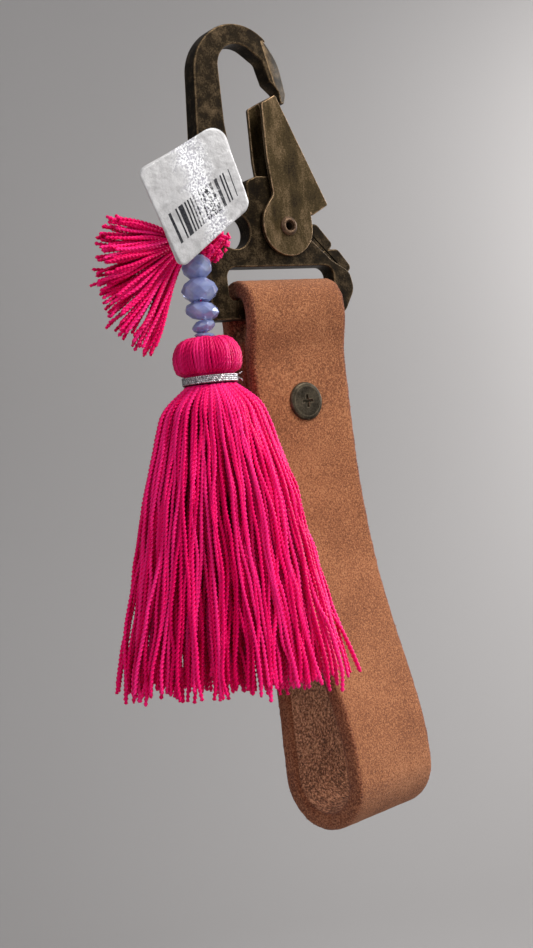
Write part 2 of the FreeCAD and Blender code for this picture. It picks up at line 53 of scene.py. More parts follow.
@functools.lru_cache(maxsize=None)
def corners(node):
    """Low and high corner of a CAD node's box, in millimetres."""
    low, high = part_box(node)
    return low / MM, high / MM


def middle(node):
    """Centre of a CAD node's box, in millimetres."""
    low, high = corners(node)
    return (low + high) / 2


def span(node):
    """Size of a CAD node's box, in millimetres."""
    low, high = corners(node)
    return high - low


def around(centre, reach, angle, height):
    """A point at a height, reach away from the upright line through centre."""
    return (centre.x + reach * math.cos(angle), centre.y + reach * math.sin(angle), height)


# ------------------------------------------------------------------ camera
VIEW_YAW = math.radians(33.75)
VIEW_PITCH = math.radians(0.49)
VIEW_ROLL = math.radians(6.69)
VIEW_DISTANCE = 288.1
# The focal length is in the same unit as the picture's height, and SENSOR turns it into a lens.
FRAME_HEIGHT = 948
FOCAL = 1400.0
SENSOR = 36.0
CLIP_START = 10.0
# A point of the object, and how far it stands right of and above the middle of the view.
AIM = Vector((4.6, 0.0, -33.9))
AIM_OFFSET = (1.14, 48.9)


def view_axes():
    """Right, up and forward of the camera, rolled."""
    forward = Vector((math.sin(VIEW_YAW) * math.cos(VIEW_PITCH), math.cos(VIEW_YAW) * math.cos(VIEW_PITCH),
                      -math.sin(VIEW_PITCH)))
    level = Vector((math.cos(VIEW_YAW), -math.sin(VIEW_YAW), 0.0))
    upright = level.cross(forward)
    right = level * math.cos(VIEW_ROLL) - upright * math.sin(VIEW_ROLL)
    up = level * math.sin(VIEW_ROLL) + upright * math.cos(VIEW_ROLL)
    return right, up, forward


def make_camera():
    """The camera, left of the hook's front and nearly level."""
    right, up, forward = view_axes()
    data = bpy.data.cameras.new("camera")
    data.sensor_fit = "VERTICAL"
    data.sensor_height = SENSOR
    data.lens = FOCAL / FRAME_HEIGHT * SENSOR
    data.clip_start = CLIP_START * MM
    camera = link_object("camera", data)
    place = AIM - right * AIM_OFFSET[0] - up * AIM_OFFSET[1] - forward * VIEW_DISTANCE
    turn = Matrix((right, up, -forward)).transposed().to_4x4()
    camera.matrix_world = Matrix.Translation(place * MM) @ turn
    bpy.context.scene.camera = camera


# ------------------------------------------------------------------ node helpers
def add(tree, kind, inputs=None, **settings):
    """Adds a shader node, with its settings, and fills or links its inputs."""
    made = tree.nodes.new(kind)
    for key, value in settings.items():
        setattr(made, key, value)
    for key, value in (inputs or {}).items():
        if isinstance(value, bpy.types.NodeSocket):
            tree.links.new(value, made.inputs[key])
        else:
            made.inputs[key].default_value = value
    return made


def new_material(name):
    """An empty material, its tree and its Principled shader."""
    material = bpy.data.materials.new(name)
    material.use_nodes = True
    tree = material.node_tree
    return material, tree, tree.nodes["Principled BSDF"]


def set_inputs(shader, values):
    """Sets a shader's own sockets to values that are the same all over."""
    for key, value in values.items():
        shader.inputs[key].default_value = value


def places(tree, stretch=(1.0, 1.0, 1.0)):
    """Object coordinates, stretched."""
    coordinates = add(tree, "ShaderNodeTexCoord").outputs["Object"]
    return add(tree, "ShaderNodeMapping", {"Vector": coordinates, "Scale": stretch}).outputs[0]


def grain(tree, vector, size_mm, detail, rough=0.55):
    """Noise whose features are about size_mm across."""
    made = add(tree, "ShaderNodeTexNoise", {"Vector": vector, "Scale": 1.0 / (size_mm * MM), "Detail": detail,
                                            "Roughness": rough})
    return made.outputs["Fac"]


def ramp(tree, factor, stops):
    """A colour ramp: stops are (position, colour)."""
    made = add(tree, "ShaderNodeValToRGB", {"Fac": factor})
    elements = made.color_ramp.elements
    while len(elements) < len(stops):
        elements.new(0.5)
    for element, (position, colour) in zip(elements, stops):
        element.position = position
        element.color = (*colour, 1.0)
    return made.outputs["Color"]


def grey(level):
    """A grey colour."""
    return (level, level, level)


def fade(tree, factor, start, end):
    """A grey that goes between two (position, level) pairs."""
    return ramp(tree, factor, [(position, grey(level)) for position, level in (start, end)])


def mix(tree, factor, first, second, how="MIX"):
    """Mixes two colours."""
    made = add(tree, "ShaderNodeMix", data_type="RGBA", blend_type=how)
    for socket, value in ((made.inputs[0], factor), (made.inputs[6], first), (made.inputs[7], second)):
        if isinstance(value, bpy.types.NodeSocket):
            tree.links.new(value, socket)
        elif isinstance(value, tuple):
            socket.default_value = (*value, 1.0)
        else:
            socket.default_value = value
    return made.outputs[2]


def math_node(tree, operation, first, second=0.0):
    """One arithmetic step."""
    return add(tree, "ShaderNodeMath", {0: first, 1: second}, operation=operation).outputs[0]


def times(tree, first, second):
    """The product of two values."""
    return math_node(tree, "MULTIPLY", first, second)


def minus(tree, first, second):
    """The difference of two values."""
    return math_node(tree, "SUBTRACT", first, second)


def share_out(tree, first, second, share):
    """A share of the first value and the rest of the second."""
    return math_node(tree, "ADD", times(tree, first, share), times(tree, second, 1.0 - share))


def bump(tree, shader, height, depth_mm, strength):
    """Bumps a shader's surface."""
    made = add(tree, "ShaderNodeBump", {"Height": height, "Distance": depth_mm * MM, "Strength": strength})
    tree.links.new(made.outputs[0], shader.inputs["Normal"])


# ------------------------------------------------------------------ materials
def worn_edges(tree, reach_mm):
    """1 near a part's outer and inner edges, 0 on its flat faces."""
    rounded = add(tree, "ShaderNodeBevel", {"Radius": reach_mm * MM}, samples=6).outputs[0]
    plain = add(tree, "ShaderNodeNewGeometry").outputs["True Normal"]
    likeness = add(tree, "ShaderNodeVectorMath", {0: rounded, 1: plain}, operation="DOT_PRODUCT")
    return fade(tree, minus(tree, 1.0, likeness.outputs["Value"]), (0.004, 0.0), (0.06, 1.0))


def antique_brass(name, dark, body, worn, stretch=(1.0, 1.0, 1.0), wear=0.6):
    """Plated metal: mottled olive faces, dark patches and bright rubbed edges."""
    material, tree, shader = new_material(name)
    blotch = grain(tree, places(tree, stretch), 2.6, 4.0, 0.6)
    speck = grain(tree, places(tree), 0.3, 3.0, 0.7)
    mottled = share_out(tree, blotch, speck, 0.6)
    light = tuple(0.75 * low + 0.25 * high for low, high in zip(body, worn))
    colour = ramp(tree, mottled, [(0.36, dark), (0.5, body), (0.68, light)])
    broken = fade(tree, grain(tree, places(tree), 0.9, 4.0, 0.7), (0.35, 0.1), (0.58, 1.0))
    rubbed = times(tree, worn_edges(tree, 0.34), broken)
    colour = mix(tree, times(tree, rubbed, wear), colour, worn)
    tree.links.new(colour, shader.inputs["Base Color"])
    set_inputs(shader, {"Metallic": 0.8, "Specular IOR Level": 0.14})
    tree.links.new(fade(tree, mottled, (0.35, 0.58), (0.65, 0.46)), shader.inputs["Roughness"])
    bump(tree, shader, mottled, 0.06, 0.6)
    return material


def leather(name, low, mid, high, grain_mm, depth_mm):
    """Nubuck: fine nap with small dark pores, cloudy tone and a very matt surface."""
    material, tree, shader = new_material(name)
    vector = places(tree)
    cloud = grain(tree, vector, 12.0, 3.0, 0.5)
    nap = grain(tree, vector, grain_mm, 5.0, 0.75)
    pore = add(tree, "ShaderNodeTexVoronoi", {"Vector": vector, "Scale": 1.0 / (grain_mm * 1.5 * MM)})
    pit = fade(tree, pore.outputs["Distance"], (0.05, 0.55), (0.42, 1.0))
    colour = ramp(tree, share_out(tree, cloud, nap, 0.18), [(0.42, low), (0.5, mid), (0.58, high)])
    colour = mix(tree, 0.5, colour, pit, "MULTIPLY")
    tree.links.new(colour, shader.inputs["Base Color"])
    set_inputs(shader, {"Roughness": 0.88, "Specular IOR Level": 0.15, "Sheen Weight": 0.08,
                        "Sheen Roughness": 0.5})
    bump(tree, shader, times(tree, nap, pit), depth_mm, 0.8)
    return material


def thread(name, deep, body, bright):
    """Twisted rayon: each strand has its own tone, with painted shade in the grooves of its twist, a painted
    highlight on its ridges and a soft pink shine.
    """
    material, tree, shader = new_material(name)
    # the tone attribute holds each strand's own tone together with the painted shade of its twist's grooves
    # and the painted highlight of its ridges
    tone = add(tree, "ShaderNodeAttribute", attribute_name="tone").outputs["Fac"]
    fibre = grain(tree, places(tree), 0.25, 3.0, 0.7)
    colour = ramp(tree, share_out(tree, tone, fibre, 0.8), [(0.2, deep), (0.5, body), (0.85, bright)])
    tree.links.new(colour, shader.inputs["Base Color"])
    tree.links.new(fade(tree, fibre, (0.3, 0.32), (0.7, 0.52)), shader.inputs["Roughness"])
    set_inputs(shader, {"Specular IOR Level": 0.38, "Specular Tint": (1.0, 0.12, 0.48, 1.0)})
    bump(tree, shader, fibre, 0.1, 0.5)
    return material


def glass_bead(name):
    """Milky lavender glass, cloudy inside, with crisp facets."""
    material, tree, shader = new_material(name)
    cloud = grain(tree, places(tree), 2.2, 2.0, 0.5)
    colour = ramp(tree, cloud, [(0.3, (0.29, 0.34, 0.66)), (0.55, (0.42, 0.49, 0.81)),
                                (0.75, (0.62, 0.69, 0.92))])
    tree.links.new(colour, shader.inputs["Base Color"])
    tree.links.new(fade(tree, cloud, (0.3, 0.05), (0.8, 0.14)), shader.inputs["Roughness"])
    set_inputs(shader, {"IOR": 1.52, "Transmission Weight": 0.55, "Subsurface Weight": 0.2,
                        "Subsurface Radius": (0.8 * MM, 0.9 * MM, 1.6 * MM), "Coat Weight": 0.3,
                        "Coat Roughness": 0.03})
    return material


def silver_thread(name):
    """Metallic thread with sparkle between its fine ribs."""
    material, tree, shader = new_material(name)
    rib = grain(tree, places(tree, (1.0, 1.0, 0.35)), 0.22, 2.0, 0.6)
    colour = ramp(tree, rib, [(0.38, (0.12, 0.12, 0.13)), (0.52, (0.42, 0.41, 0.43)),
                              (0.66, (0.92, 0.9, 0.9))])
    tree.links.new(colour, shader.inputs["Base Color"])
    set_inputs(shader, {"Metallic": 0.85})
    tree.links.new(fade(tree, rib, (0.3, 0.5), (0.7, 0.22)), shader.inputs["Roughness"])
    bump(tree, shader, rib, 0.1, 0.8)
    return material


BAR_CELLS = 54.0
BARS_LEFT = 0.1
BARS_RIGHT = 0.9
BARS_LOW = 0.19
BARS_HIGH = 0.5
INK = (0.02, 0.02, 0.025)


def plain_bars(tree, across, up):
    """1 on upright bars of chance widths in a strip of the sheet, 0 elsewhere. They stand for nothing."""
    cell = math_node(tree, "FLOOR", times(tree, across, BAR_CELLS))
    pair = math_node(tree, "FLOOR", times(tree, cell, 0.5))
    chance = add(tree, "ShaderNodeTexWhiteNoise", {"W": pair}, noise_dimensions="1D").outputs["Value"]
    odd = minus(tree, cell, times(tree, pair, 2.0))
    bars = math_node(tree, "GREATER_THAN", minus(tree, chance, times(tree, odd, 0.5)), 0.3)
    for operation, place, edge in (("GREATER_THAN", up, BARS_LOW), ("LESS_THAN", up, BARS_HIGH),
                                   ("GREATER_THAN", across, BARS_LEFT), ("LESS_THAN", across, BARS_RIGHT)):
        bars = times(tree, bars, math_node(tree, operation, place, edge))
    return bars


def paper(name, printed):
    """Glossy white label paper, darker in the hollows of its creases as painted shade, with a crumpled band
    flecked with painted glints and painted shade, and plain bars if it is printed.
    """
    material, tree, shader = new_material(name)
    vector = places(tree)
    crease = grain(tree, vector, 1.8, 4.0, 0.6)
    fleck = grain(tree, vector, 0.42, 2.0, 0.6)
    sheet = add(tree, "ShaderNodeUVMap", uv_map="sheet").outputs["UV"]
    parts = add(tree, "ShaderNodeSeparateXYZ", {"Vector": sheet})
    across = parts.outputs["X"]
    fold = math_node(tree, "ADD", times(tree, crease, 0.35), 0.37)
    away = math_node(tree, "ABSOLUTE", minus(tree, across, fold))
    crumpled = fade(tree, away, (0.06, 1.0), (0.2, 0.0))
    # painted light: in the crumpled band the bright flecks are painted glints and the grey ones painted shade
    painted_glints_and_shade = ramp(tree, fleck, [(0.4, (0.38, 0.37, 0.41)), (0.48, (0.57, 0.56, 0.6)), (0.55, grey(0.9))])
    # painted shade: the crease noise that bumps the paper also darkens its hollows
    colour = ramp(tree, crease, [(0.35, (0.4, 0.39, 0.39)), (0.65, (0.6, 0.59, 0.59))])
    colour = mix(tree, crumpled, colour, painted_glints_and_shade)
    if printed:
        # the bars give way where the painted glints are brightest
        ink_under_glints = times(tree, crumpled, fade(tree, fleck, (0.47, 0.0), (0.5, 0.9)))
        bars = plain_bars(tree, across, parts.outputs["Y"])
        colour = mix(tree, times(tree, bars, minus(tree, 1.0, ink_under_glints)), colour, INK)
    tree.links.new(colour, shader.inputs["Base Color"])
    tree.links.new(fade(tree, crease, (0.4, 0.45), (0.6, 0.2)), shader.inputs["Roughness"])
    height = math_node(tree, "ADD", crease, times(tree, fleck, times(tree, crumpled, 0.3)))
    bump(tree, shader, height, 0.35, 0.8)
    return material


# ------------------------------------------------------------------ mesh helpers
def link_object(name, data):
    """A new object in the scene."""
    made = bpy.data.objects.new(name, data)
    bpy.context.scene.collection.objects.link(made)
    return made


def new_piece(name, vertices, faces, materials, smooth=True):
    """A mesh object from points in millimetres."""
    mesh = bpy.data.meshes.new(name)
    mesh.from_pydata([tuple(value * MM for value in vertex) for vertex in vertices], [], faces)
    for material in materials:
        mesh.materials.append(material)
    if smooth:
        mesh.polygons.foreach_set("use_smooth", [True] * len(mesh.polygons))
    mesh.update()
    return link_object(name, mesh)


def finish_piece(piece, body, slot, *nodes):
    """Declares what a piece rides on and hides the CAD nodes it stands for. The slot, its finish, is not
    used.
    """
    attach(piece, body)
    if nodes:
        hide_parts(*nodes)


def add_rounding(piece, width_mm, segments, angle):
    """Rounds a piece's edges that are sharper than an angle."""
    rounding = piece.modifiers.new("rounding", "BEVEL")
    rounding.width = width_mm * MM
    rounding.segments = segments
    rounding.limit_method = "ANGLE"
    rounding.angle_limit = math.radians(angle)
    return rounding


def apply_modifiers(piece):
    """Replaces a piece's mesh with its evaluated one."""
    graph = bpy.context.evaluated_depsgraph_get()
    mesh = bpy.data.meshes.new_from_object(piece.evaluated_get(graph))
    piece.modifiers.clear()
    piece.data = mesh


def softened_copy(node, name, width_mm, material):
    """A copy of a CAD node with welded, rounded edges and flat faces that stay flat."""
    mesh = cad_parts[node].data.copy()
    mesh.materials.clear()
    mesh.materials.append(material)
    work = bmesh.new()
    work.from_mesh(mesh)
    bmesh.ops.remove_doubles(work, verts=work.verts, dist=0.002 * MM)
    bmesh.ops.dissolve_limit(work, angle_limit=math.radians(1.5), verts=work.verts, edges=work.edges)
    for face in work.faces:
        face.smooth = True
    work.to_mesh(mesh)
    work.free()
    piece = link_object(name, mesh)
    rounding = add_rounding(piece, width_mm, 2, 32)
    rounding.use_clamp_overlap = False
    even = piece.modifiers.new("even", "WEIGHTED_NORMAL")
    even.weight = 60
    even.keep_sharp = False
    apply_modifiers(piece)
    return piece


def ring_faces(rows, ring):
    """Faces between neighbouring rings of points, row by row."""
    faces = []
    for row in range(rows - 1):
        for corner in range(ring):
            here = row * ring + corner
            after = row * ring + (corner + 1) % ring
            faces.append((here, here + ring, after + ring, after))
    return faces


class Strands:
    """Gathers many twisted strands into one mesh."""

    def __init__(self, sides=6, flat=0.58, pitch=1.7):
        self.sides = sides
        self.flat = flat
        self.pitch = pitch
        self.vertices = []
        self.faces = []
        self.tones_and_twist_shade = []

    def lay(self, points, radius, across=(0.0, 1.0, 0.0), step=0.22, tone=None, taper=True):
        """One strand along a list of points; across must never lie along the strand."""
        line = even_line(points, step)
        count = len(line)
        tangent = directions(line)
        side = np.cross(tangent, np.array(across))
        side /= np.linalg.norm(side, axis=1)[:, None]
        other = np.cross(tangent, side)
        turn = np.arange(count) * step / self.pitch * 2 * math.pi + random.uniform(0, 6.28)
        girth = np.full(count, radius)
        if taper:
            girth[0] *= 0.5
            girth[-1] *= 0.55
        base = len(self.vertices)
        tone = random.random() if tone is None else tone
        for corner in range(self.sides):
            angle = 2 * math.pi * corner / self.sides
            reach = math.cos(angle)
            rise = math.sin(angle) * self.flat
            first = reach * np.cos(turn) - rise * np.sin(turn)
            second = reach * np.sin(turn) + rise * np.cos(turn)
            ring = line + side * (first * girth)[:, None] + other * (second * girth)[:, None]
            self.vertices.extend(map(tuple, ring))
            # painted light: corners on the twist's ridges get a lighter tone as painted highlight, and those
            # in its grooves a darker one as painted shade
            self.tones_and_twist_shade.extend([tone * 0.45 + 0.55 * abs(reach)] * count)
        self.close(base, count)

    def close(self, base, count):
        """Faces along a strand whose sides are columns of count points, and its two ends."""
        for corner in range(self.sides):
            here = base + corner * count
            there = base + (corner + 1) % self.sides * count
            for row in range(count - 1):
                self.faces.append((here + row, there + row, there + row + 1, here + row + 1))
        self.faces.append(tuple(base + corner * count for corner in reversed(range(self.sides))))
        self.faces.append(tuple(base + corner * count + count - 1 for corner in range(self.sides)))

    def finish(self, name, material, body, slot, *nodes):
        made = new_piece(name, self.vertices, self.faces, [material])
        # the tone attribute carries the strand's own tone and the painted groove shade and ridge highlight
        tone = made.data.attributes.new("tone", "FLOAT", "POINT")
        tone.data.foreach_set("value", self.tones_and_twist_shade)
        finish_piece(made, body, slot, *nodes)


def directions(line):
    """Unit directions along a line of points."""
    tangent = np.gradient(line, axis=0)
    return tangent / np.linalg.norm(tangent, axis=1)[:, None]


def even_line(points, step):
    """Points spaced evenly along a smooth curve through the given ones."""
    knots = np.array([tuple(point) for point in points], float)
    if len(knots) > 2:
        knots = smooth_line(knots)
    reach = np.concatenate([[0.0], np.cumsum(np.linalg.norm(np.diff(knots, axis=0), axis=1))])
    count = max(3, int(reach[-1] / step) + 1)
    at = np.linspace(0.0, reach[-1], count)
    return np.stack([np.interp(at, reach, knots[:, axis]) for axis in range(3)], axis=1)


def smooth_line(knots, parts=6):
    """A Catmull-Rom curve through the knots."""
    padded = np.vstack([2 * knots[0] - knots[1], knots, 2 * knots[-1] - knots[-2]])
    steps = np.linspace(0.0, 1.0, parts, endpoint=False)[:, None]
    curve = []
    for index in range(1, len(padded) - 2):
        before, start, end, after = padded[index - 1:index + 3]
        curve.append(0.5 * (2 * start + (end - before) * steps
                            + (2 * before - 5 * start + 4 * end - after) * steps ** 2
                            + (3 * start - before - 3 * end + after) * steps ** 3))
    return np.vstack(curve + [knots[-1:]])


def wander(seed, place, size):
    """Smooth random offset for a point, repeatable because the noise is seeded."""
    return Vector(noise.noise_vector(Vector((seed * 7.13, place, seed * 3.7)))) * size


# ------------------------------------------------------------------ metal parts
def make_metal():
    """Softened copies of the hook, gate, rivet and screw, and the spring's own finish."""
    plate = antique_brass("antique_brass", dark=(0.005, 0.003, 0.0015), body=(0.018, 0.0115, 0.0048),
                          worn=(0.4, 0.27, 0.15), wear=0.75)
    sheet = antique_brass("gate_brass", dark=(0.016, 0.01, 0.004), body=(0.06, 0.04, 0.016),
                          worn=(0.75, 0.5, 0.3), stretch=(1.0, 1.0, 0.35), wear=0.95)
    rivet = antique_brass("rivet_brass", dark=(0.02, 0.011, 0.006), body=(0.09, 0.055, 0.033),
                          worn=(0.5, 0.31, 0.2), wear=0.8)
    screw = antique_brass("screw_metal", dark=(0.008, 0.006, 0.004), body=(0.045, 0.036, 0.024),
                          worn=(0.3, 0.24, 0.16), wear=0.7)
    steel = antique_brass("spring_steel", dark=grey(0.1), body=grey(0.3), worn=grey(0.6))
    rows = [("hook_body", 0.3, plate, "root", "antique_brass"),
            ("gate_lever", 0.2, sheet, "gate", "gate_brass"),
            ("gate_rivet", 0.12, rivet, "gate", "rivet_brass"),
            ("screw", 0.08, screw, "strap", "screw_metal"),
            ("screw_post", 0.15, screw, "strap", "screw_metal")]
    for node, rounding, material, body, slot in rows:
        finish_piece(softened_copy(node, node + "_soft", rounding, material), body, slot, node)
    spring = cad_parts["gate_spring"]
    spring.data.materials.clear()
    spring.data.materials.append(steel)


# ------------------------------------------------------------------ strap
GRAIN = 0
EDGE = 1
FLESH = 2
STRAP_THICK = 3.3
STRAP_PITCH = 3.4
STRAP_STEP = 0.8
EDGE_ROUND = 0.75
EDGE_FLAT = 0.5
EDGE_ROUGH = 0.16
FACE_ROUGH = 0.05
RAIL_WRAP = 2.75
STACK_SHIFT = 0.9
LOOP_FRONT = -15.6
LOOP_RADIUS = 8.1
SHORT_END = 9.0
TWIST = math.radians(13.0)
TWIST_TOP = -80.0
TWIST_DROP = 50.0
TWIST_AXIS_Y = -6.0
FIBRES = 5200


def strap_route():
    """The middle of the strap's thickness in the YZ plane, from its short back end to its inner end."""
    axis = corners("wrist_strap")[1].z - RAIL_WRAP - STRAP_THICK
    low = corners("wrist_strap")[0].z + STRAP_THICK / 2
    screw = middle("screw").z
    wrap = RAIL_WRAP + STRAP_THICK / 2
    front = STACK_SHIFT - STRAP_PITCH
    back = STACK_SHIFT + STRAP_PITCH
    centre = (LOOP_FRONT + LOOP_RADIUS, low + LOOP_RADIUS)
    points = [(back, screw - SHORT_END), (back, screw), (back, screw + 8.0), (wrap, axis - 5.0)]
    points += [(wrap * math.cos(math.radians(angle)), axis + wrap * math.sin(math.radians(angle)))
               for angle in range(0, 181, 18)]
    points += [(-wrap, axis - 2.0), (-3.9, axis - 4.6), (-2.9, axis - 8.0), (front, axis - 12.0),
               (front, screw), (front, screw - 4.0), (front - 0.3, -83.0), (-3.8, -91.0), (-6.3, -103.0),
               (-9.7, -115.0), (-12.9, -126.0), (-15.1, -136.0)]
    points += [(centre[0] - LOOP_RADIUS * math.cos(math.radians(angle)),
                centre[1] - LOOP_RADIUS * math.sin(math.radians(angle))) for angle in range(0, 181, 15)]
    points += [(0.6, -132.0), (0.5, -110.0), (0.6, -92.0), (STACK_SHIFT, screw - 7.0),
               (STACK_SHIFT, screw + 13.2)]
    return points


def outline_edge(half, deep, sign):
    """A cut edge of the section with round corners: the right one downward, or by sign -1 the left upward."""
    upper = [(half - EDGE_ROUND + EDGE_ROUND * math.cos(math.radians(angle)),
              deep - EDGE_ROUND + EDGE_ROUND * math.sin(math.radians(angle))) for angle in (60, 25)]
    upper.append((half, EDGE_FLAT))
    lower = [(across, -height) for across, height in reversed(upper)]
    return [(sign * across, sign * height, EDGE) for across, height in upper + lower]


def strap_outline():
    """Points round the strap's section: (across, outward, side)."""
    half = span("wrist_strap").x / 2
    deep = STRAP_THICK / 2
    across = np.linspace(EDGE_ROUND - half, half - EDGE_ROUND, 22)
    section = [(value, deep, GRAIN) for value in across]
    section += outline_edge(half, deep, 1)
    section += [(value, -deep, FLESH) for value in reversed(across)]
    return section + outline_edge(half, deep, -1)


def twisted(point, pivot):
    """Turns the loop's low part a little about the vertical, as the soft strap hangs."""
    share = min(max((TWIST_TOP - point.z) / TWIST_DROP, 0.0), 1.0)
    share = share * share * (3 - 2 * share)
    turn = Matrix.Rotation(TWIST * share, 3, "Z")
    return turn @ (point - pivot) + pivot


def unevenness(place, across, side):
    """How far the leather strays from its plain section, more on the cut edges."""
    size = EDGE_ROUGH if side == EDGE else FACE_ROUGH
    sample = Vector((across * 0.8, place[1] * 0.8 + side * 9.0, place[2] * 0.8))
    return noise.noise(sample) * size + noise.noise(sample * 2.7) * size * 0.6


def strap_points(line, outward, section):
    """The strap's surface: one ring of points round each station of its route."""
    centre = middle("wrist_strap")
    pivot = Vector((centre.x, TWIST_AXIS_Y, 0.0))
    points = []
    for place, out in zip(line, outward):
        for across, deep, side in section:
            shake = unevenness(place, across, side)
            if side == EDGE:
                across *= 1.0 + shake / max(abs(across), 1.0)
            else:
                deep += shake
            point = Vector(place) + Vector(out) * deep
            point.x = centre.x + across
            points.append(twisted(point, pivot))
    return points


def make_strap():
    """The nubuck strap with a grain side, a paler flesh side and rough cut edges."""
    line = even_line([(0.0, y, z) for y, z in strap_route()], STRAP_STEP)
    outward = np.cross(directions(line), np.array((1.0, 0.0, 0.0)))
    section = strap_outline()
    ring = len(section)
    points = strap_points(line, outward, section)
    faces = ring_faces(len(line), ring)
    faces.append(tuple(range(ring)))
    faces.append(tuple(len(points) - ring + corner for corner in reversed(range(ring))))
    kinds = [kind for _, _, kind in section]
    after = kinds[1:] + kinds[:1]
    ring_kinds = [EDGE if EDGE in pair else pair[0] for pair in zip(kinds, after)]
    nubuck = leather("nubuck", low=(0.15, 0.049, 0.02), mid=(0.28, 0.1, 0.039), high=(0.42, 0.175, 0.079),
                     grain_mm=0.33, depth_mm=0.2)
    cut_edge = leather("leather_edge", low=(0.1, 0.028, 0.013), mid=(0.25, 0.08, 0.038),
                       high=(0.44, 0.18, 0.085), grain_mm=0.35, depth_mm=0.45)
    flesh = leather("leather_flesh", low=(0.09, 0.03, 0.014), mid=(0.36, 0.135, 0.062),
                    high=(0.74, 0.37, 0.2), grain_mm=0.5, depth_mm=0.6)
    strap = new_piece("strap_leather", points, faces, [nubuck, cut_edge, flesh])
    strap.data.polygons.foreach_set("material_index", ring_kinds * (len(line) - 1) + [EDGE, EDGE])
    finish_piece(strap, "strap", "leather", "wrist_strap")
    make_fibres(points, section, outward, cut_edge)


def make_fibres(surface, section, outward, material):
    """Short loose fibres on the strap's cut edges and, every third one, on its flesh side."""
    random.seed(11)
    ring = len(section)
    points = []
    faces = []
    edge = [corner for corner in range(ring) if section[corner][2] == EDGE]
    flesh = [corner for corner in range(ring) if section[corner][2] == FLESH]
    for number in range(FIBRES):
        on_edge = number % 3 > 0
        row = random.randrange(len(outward))
        corner = random.choice(edge if on_edge else flesh)
        root = surface[row * ring + corner]
        side = 1.0 if section[corner][0] > 0 else -1.0
        lean = Vector((side, 0.0, 0.0)) if on_edge else -Vector(outward[row])
        away = (lean + Vector([random.uniform(-0.9, 0.9) for _ in range(3)])).normalized()
        tip = root + away * random.uniform(0.15, 0.55)
        width = away.orthogonal().normalized() * 0.03
        base = len(points)
        points += [root - width, root + width, tip]
        faces.append((base, base + 1, base + 2))
    finish_piece(new_piece("strap_fibres", points, faces, [material]), "strap", "leather")


# ------------------------------------------------------------------ beads
BEAD_TILTS = [(2, -2), (-6, 6), (7, 8), (-6, -9), (5, 5)]
BEAD_TURN = 1.3
BORE = 0.86
FACETS = 8


def make_beads():
    """Faceted rondelles, tilted on the thread as strung beads sit."""
    material = glass_bead("bead_glass")
    for number, (lean, roll) in enumerate(BEAD_TILTS, start=1):
        node = f"bead_{number}"
        centre = middle(node)
        size = span(node)
        vertices, faces = rondelle(size.x / 2, size.z / 2)
        turn = Matrix.Rotation(math.radians(lean), 3, "X") @ Matrix.Rotation(math.radians(roll), 3, "Y")
        turn = turn @ Matrix.Rotation(number * BEAD_TURN, 3, "Z")
        placed = [turn @ Vector(vertex) + centre for vertex in vertices]
        bead = new_piece(node + "_glass", placed, faces, [material], smooth=False)
        add_rounding(bead, 0.07, 1, 8)
        apply_modifiers(bead)
        finish_piece(bead, node, "bead_glass", node)


def rondelle(radius, half):
    """A rondelle with a zigzag of triangular facets above and below its girdle, and a small bore."""
    rings = [(BORE, half * 0.94, 0.0), (radius * 0.52, half, 0.0), (radius * 0.88, half * 0.5, 0.5),
             (radius, 0.0, 0.0), (radius * 0.88, -half * 0.5, 0.5), (radius * 0.52, -half, 0.0),
             (BORE, -half * 0.94, 0.0)]
    vertices = []
    for reach, height, shift in rings:
        for facet in range(FACETS):
            angle = 2 * math.pi * (facet + shift) / FACETS
            vertices.append((reach * math.cos(angle), reach * math.sin(angle), height))
    faces = []
    for level in range(len(rings) - 1):
        offset = rings[level + 1][2] - rings[level][2]
        for facet in range(FACETS):
            here = level * FACETS + facet
            after = level * FACETS + (facet + 1) % FACETS
            if offset > 0:
                faces += [(here, here + FACETS, after), (after, here + FACETS, after + FACETS)]
            elif offset < 0:
                faces += [(here, here + FACETS, after + FACETS), (here, after + FACETS, after)]
            else:
                faces.append((here, here + FACETS, after + FACETS, after))
    last = (len(rings) - 1) * FACETS
    for facet in range(FACETS):
        after = (facet + 1) % FACETS
        faces.append((last + facet, facet, after, last + after))
    return vertices, faces


# ------------------------------------------------------------------ large tassel
STRAND = 0.44
SKIRT_GROUPS = 6
SKIRT_STEPS = 14
SKIRT_LEAN = math.radians(-33.75)
# Each station is (share down the height, half width, half depth, sideways, forward).
SKIRT_STATIONS = [(0.0, 4.6, 4.6, 0.0, 0.0), (0.03, 7.3, 6.7, -0.1, -0.3), (0.06, 8.9, 7.7, -0.3, -0.6),
                  (0.14, 10.9, 8.3, -0.5, -1.6), (0.343, 14.4, 9.5, -0.8, -4.1), (0.6, 17.0, 9.7, -1.4, -6.3),
                  (0.883, 19.7, 9.7, -2.2, -9.4), (1.0, 20.3, 9.7, -2.4, -10.6)]
# Each layer is (threads, share of the way from the middle to the outside, how much that varies).
SKIRT_LAYERS = [(128, 0.98, 0.04), (100, 0.82, 0.07), (76, 0.6, 0.1), (46, 0.32, 0.18)]
HEM = 0.942
HEM_JITTER = 0.011
HEM_SLANT = 0.012
LONG_ONES = 0.03
HEAD_STRANDS = 70
CORE_SIDES = 28
CORE_SHARE = 0.955
CORE_HOLE = 0.05
BAND_TURNS = 4
BAND_STEPS = 24
BAND_START = 2.4
TAIL_ANGLE = math.radians(-40)


